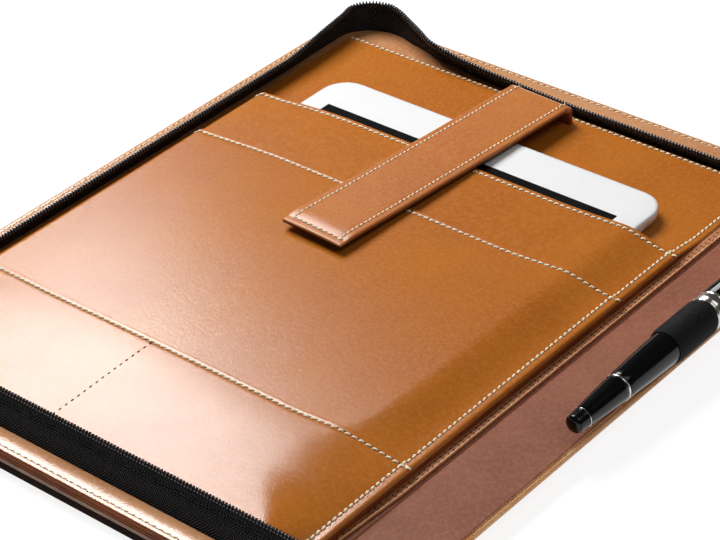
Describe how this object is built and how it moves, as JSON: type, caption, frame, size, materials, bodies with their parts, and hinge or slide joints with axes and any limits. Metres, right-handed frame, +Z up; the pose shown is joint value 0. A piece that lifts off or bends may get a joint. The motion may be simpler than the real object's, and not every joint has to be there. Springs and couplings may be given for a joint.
{
  "type": "zip-around tablet organiser",
  "caption": "Zip-around leather organiser opened flat with its front cover folded under, holding a tablet in a stepped pocket under a strap and a pen in an elastic loop.",
  "frame": {"origin": "centre of the opened organiser's footprint, on the surface it lies on", "axes": "+X from the back cover's free edge towards the spine, +Y towards the top edge, +Z up out of the page"},
  "size_m": [0.2724, 0.32, 0.0258],
  "materials": {
    "tan_leather": "smooth cognac leather, fine pores, satin",
    "pale_leather": "lighter tan leather lining",
    "dark_leather": "brown leather margin",
    "suede": "mauve-brown suede lining",
    "board": "grey-brown stiffener board",
    "foam": "closed-cell padding",
    "zip_tape": "black woven herringbone tape",
    "zip_teeth": "glossy black coil teeth",
    "zip_metal": "black enamelled zinc",
    "steel": "plated steel",
    "magnet": "nickel-plated magnet",
    "elastic": "black ribbed elastic",
    "tablet_case": "fine blasted aluminium",
    "white_glass": "white-backed cover glass",
    "dark_screen": "unlit glossy display",
    "battery": "foil-wrapped cells",
    "circuit": "green solder mask",
    "grey_plastic": "moulded plastic",
    "lens": "dark camera lens",
    "pen_black": "polished black resin",
    "pen_silver": "polished silver rings",
    "nib": "steel nib",
    "ink": "ink cartridge"
  },
  "bodies": {
    "back_cover": {"back_outer_leather": "tan_leather", "back_board": "board", "back_rim_band": "tan_leather", "back_lining": "pale_leather", "back_suede_margin": "suede", "margin_strip": "dark_leather", "pocket_panel": "tan_leather", "tablet_pocket": "tan_leather", "middle_pocket": "tan_leather", "low_pocket": "tan_leather", "keeper_plate": "steel", "strap_anchor": "tan_leather", "back_zip_tape": "zip_tape", "back_zip_teeth": "zip_teeth", "back_zip_stops": "zip_metal"},
    "spine": {"spine_outer_leather": "tan_leather", "spine_board": "board", "spine_lining": "suede"},
    "pen_holder": {"pen_loop": "elastic"},
    "front_cover": {"front_outer_leather": "tan_leather", "front_board": "board", "front_rim_band": "tan_leather", "front_padding": "foam", "front_lining": "pale_leather", "front_suede_margin": "suede", "document_pocket": "tan_leather", "front_zip_tape": "zip_tape", "front_zip_teeth": "zip_teeth", "front_zip_stops": "zip_metal"},
    "strap": {"strap_leather": "tan_leather", "strap_lining": "dark_leather", "strap_magnet": "magnet"},
    "zip_slider": {"slider_body": "zip_metal", "slider_bridge": "zip_metal"},
    "zip_pull": {"slider_pull": "zip_metal"},
    "tablet": {"tablet_housing": "tablet_case", "tablet_bezel": "white_glass", "tablet_display": "dark_screen", "tablet_battery": "battery", "tablet_logic_board": "circuit", "tablet_speakers": "grey_plastic", "tablet_dock_socket": "grey_plastic", "tablet_camera": "lens"},
    "home_key": {"home_button": "white_glass"},
    "sleep_key": {"sleep_button": "tablet_case"},
    "volume_key": {"volume_button": "tablet_case"},
    "side_slider": {"side_switch": "tablet_case"},
    "pen": {"pen_barrel": "pen_black", "pen_tail": "pen_black", "pen_rings": "pen_silver", "pen_section": "pen_black", "pen_nib": "nib", "pen_cartridge": "ink"},
    "cap": {"pen_cap": "pen_black", "pen_cap_band": "pen_silver", "pen_clip": "pen_silver"}
  },
  "joints": [
    {"name": "spine_fold", "type": "hinge", "parent": "back_cover", "child": "spine", "pos_m": [0.1031, 0, 0.0071], "axis": [0, -1, 0], "range_deg": [0, 90]},
    {"name": "cover_fold", "type": "hinge", "parent": "spine", "child": "front_cover", "pos_m": [0.1301, 0, 0.0071], "axis": [0, -1, 0], "range_deg": [0, 270]},
    {"name": "strap_lift", "type": "hinge", "parent": "back_cover", "child": "strap", "pos_m": [-0.01226, 0.13461, 0.0159], "axis": [0.999, -0.0454, 0], "range_deg": [-95, 0]},
    {"name": "zip_travel", "type": "slide", "parent": "back_cover", "child": "zip_slider", "axis": [1, 0, 0], "range_m": [-0.07, 0]},
    {"name": "zip_pull_flip", "type": "hinge", "parent": "zip_slider", "child": "zip_pull", "pos_m": [0.093, 0.1457, 0.01459], "axis": [0, -0.0416, 0.9991], "range_deg": [-165, 0]},
    {"name": "tablet_slide", "type": "slide", "parent": "back_cover", "child": "tablet", "axis": [0, 1, 0], "range_m": [0, 0.022]},
    {"name": "home_press", "type": "slide", "parent": "tablet", "child": "home_key", "axis": [0, 0, -1], "range_m": [0, 0.0003], "stiffness_N_per_m": 600},
    {"name": "sleep_press", "type": "slide", "parent": "tablet", "child": "sleep_key", "axis": [0, -1, 0], "range_m": [0, 0.0003], "stiffness_N_per_m": 600},
    {"name": "volume_press", "type": "slide", "parent": "tablet", "child": "volume_key", "axis": [-1, 0, 0], "range_m": [0, 0.0003], "stiffness_N_per_m": 600},
    {"name": "side_switch_slide", "type": "slide", "parent": "tablet", "child": "side_slider", "axis": [0, -1, 0], "range_m": [0, 0.0016]},
    {"name": "loop_shift", "type": "slide", "parent": "spine", "child": "pen_holder", "axis": [-1, 0, 0], "range_m": [0, 0.0093]},
    {"name": "pen_draw", "type": "slide", "parent": "pen_holder", "child": "pen", "axis": [0, -1, 0], "range_m": [-0.085, 0]},
    {"name": "cap_pull", "type": "slide", "parent": "pen", "child": "cap", "axis": [0, -1, 0], "range_m": [-0.045, 0]}
  ],
  "couplings": [
    {"joint": "loop_shift", "follows": "cover_fold", "m_per_rad": 0.0019523}
  ]
}
